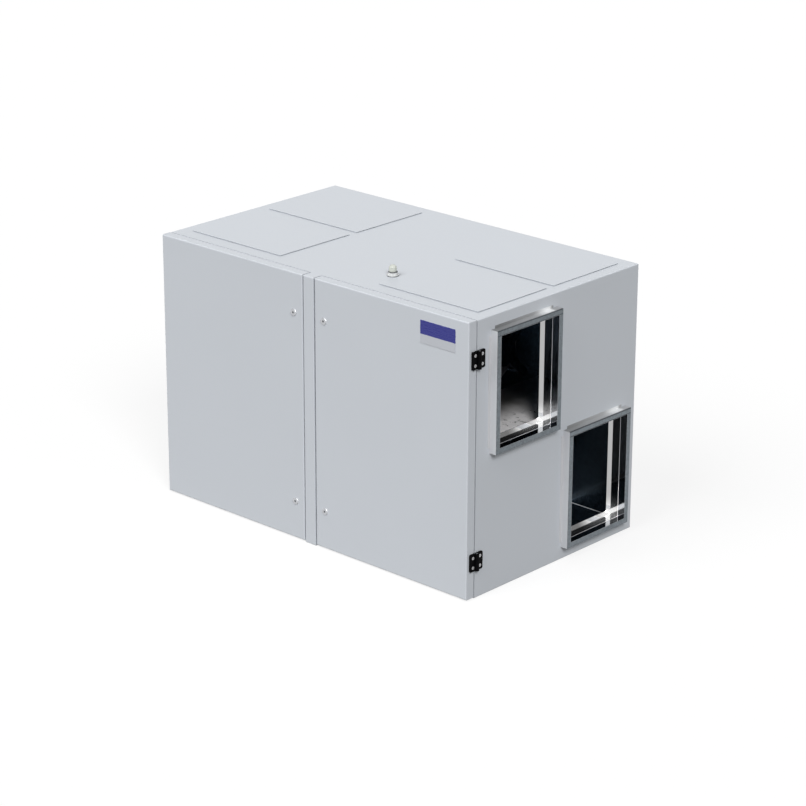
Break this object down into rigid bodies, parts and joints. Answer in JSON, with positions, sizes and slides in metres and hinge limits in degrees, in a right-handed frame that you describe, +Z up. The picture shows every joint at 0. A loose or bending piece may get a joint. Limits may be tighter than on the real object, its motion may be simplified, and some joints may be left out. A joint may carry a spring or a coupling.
{
  "type": "air handling unit",
  "caption": "Floor-standing air handling unit: insulated grey casing with hinged service doors, quarter-turn locks, flanged rectangular duct connections on both ends and blanked roof openings.",
  "frame": {"origin": "on the floor under the middle of the casing, half way between the faces of the doors and the back", "axes": "+X along the length to the right seen from the doors, +Y to the back, +Z up; the doors face -Y"},
  "size_m": [1.56, 0.913, 1.056],
  "materials": {
    "casing_paint": "light grey powder coat, satin, fine texture",
    "galvanised_liner": "bright galvanised sheet with faint spangle",
    "galvanised_flange": "galvanised profile, matt grey with spangle",
    "bright_trim": "bright zinc edging",
    "seal_rubber": "dark foam rubber",
    "hinge_black": "black moulded plastic, fine grain",
    "lock_chrome": "satin chrome on die-cast zinc",
    "gland_grey": "light grey moulded plastic",
    "gland_cream": "cream moulded plastic",
    "nameplate_blue": "blank plate, blue over silver",
    "exchanger_aluminium": "stacked thin aluminium plates",
    "filter_media": "white pleated fibre in a card frame",
    "fan_black": "black glass-filled plastic wheel and motor"
  },
  "bodies": {
    "casing": {"base_panel": "casing_paint", "roof_panel": "casing_paint", "back_panel": "casing_paint", "left_end_panel": "casing_paint", "right_end_panel": "casing_paint", "inner_liner": "galvanised_liner", "centre_post": "casing_paint", "door_seals": "seal_rubber", "right_upper_duct_flange": "galvanised_flange", "right_lower_duct_flange": "galvanised_flange", "left_upper_duct_flange": "galvanised_flange", "left_lower_duct_flange": "galvanised_flange", "right_opening_trims": "bright_trim", "left_opening_trims": "bright_trim", "right_front_roof_cover": "casing_paint", "right_back_roof_cover": "casing_paint", "left_front_roof_cover": "casing_paint", "left_back_roof_cover": "casing_paint", "roof_cover_gaskets": "seal_rubber", "cable_gland_body": "gland_grey", "cable_gland_cap": "gland_cream", "right_casing_hinge_leaves": "hinge_black", "left_casing_hinge_leaves": "hinge_black", "right_hinge_pins": "lock_chrome", "left_hinge_pins": "lock_chrome", "right_deck": "galvanised_liner", "left_deck": "galvanised_liner", "exchanger_core": "exchanger_aluminium", "exchanger_cover_plates": "galvanised_liner", "partition_sheets": "galvanised_liner", "right_filter": "filter_media", "left_filter": "filter_media", "right_fan_wall": "galvanised_liner", "left_fan_wall": "galvanised_liner", "right_fan": "fan_black", "left_fan": "fan_black"},
    "right_door": {"right_door_panel": "casing_paint", "right_door_liner": "galvanised_liner", "right_door_hinge_leaves": "hinge_black", "right_lock_barrels": "lock_chrome", "nameplate": "nameplate_blue"},
    "left_door": {"left_door_panel": "casing_paint", "left_door_liner": "galvanised_liner", "left_door_hinge_leaves": "hinge_black", "left_lock_barrels": "lock_chrome"},
    "right_upper_lock": {"right_upper_lock_plug": "lock_chrome"},
    "right_lower_lock": {"right_lower_lock_plug": "lock_chrome"},
    "left_upper_lock": {"left_upper_lock_plug": "lock_chrome"},
    "left_lower_lock": {"left_lower_lock_plug": "lock_chrome"}
  },
  "joints": [
    {"name": "right_door_hinge", "type": "hinge", "parent": "casing", "child": "right_door", "pos_m": [0.7585, -0.4095, 0.5075], "axis": [0, 0, 1], "range_deg": [0, 120]},
    {"name": "left_door_hinge", "type": "hinge", "parent": "casing", "child": "left_door", "pos_m": [-0.7585, -0.4095, 0.5075], "axis": [0, 0, -1], "range_deg": [0, 120]},
    {"name": "right_upper_lock_turn", "type": "hinge", "parent": "right_door", "child": "right_upper_lock", "pos_m": [0.074, -0.42, 0.867], "axis": [0, 1, 0], "range_deg": [0, 90]},
    {"name": "right_lower_lock_turn", "type": "hinge", "parent": "right_door", "child": "right_lower_lock", "pos_m": [0.074, -0.42, 0.148], "axis": [0, 1, 0], "range_deg": [0, 90]},
    {"name": "left_upper_lock_turn", "type": "hinge", "parent": "left_door", "child": "left_upper_lock", "pos_m": [-0.074, -0.42, 0.867], "axis": [0, -1, 0], "range_deg": [0, 90]},
    {"name": "left_lower_lock_turn", "type": "hinge", "parent": "left_door", "child": "left_lower_lock", "pos_m": [-0.074, -0.42, 0.148], "axis": [0, -1, 0], "range_deg": [0, 90]}
  ]
}
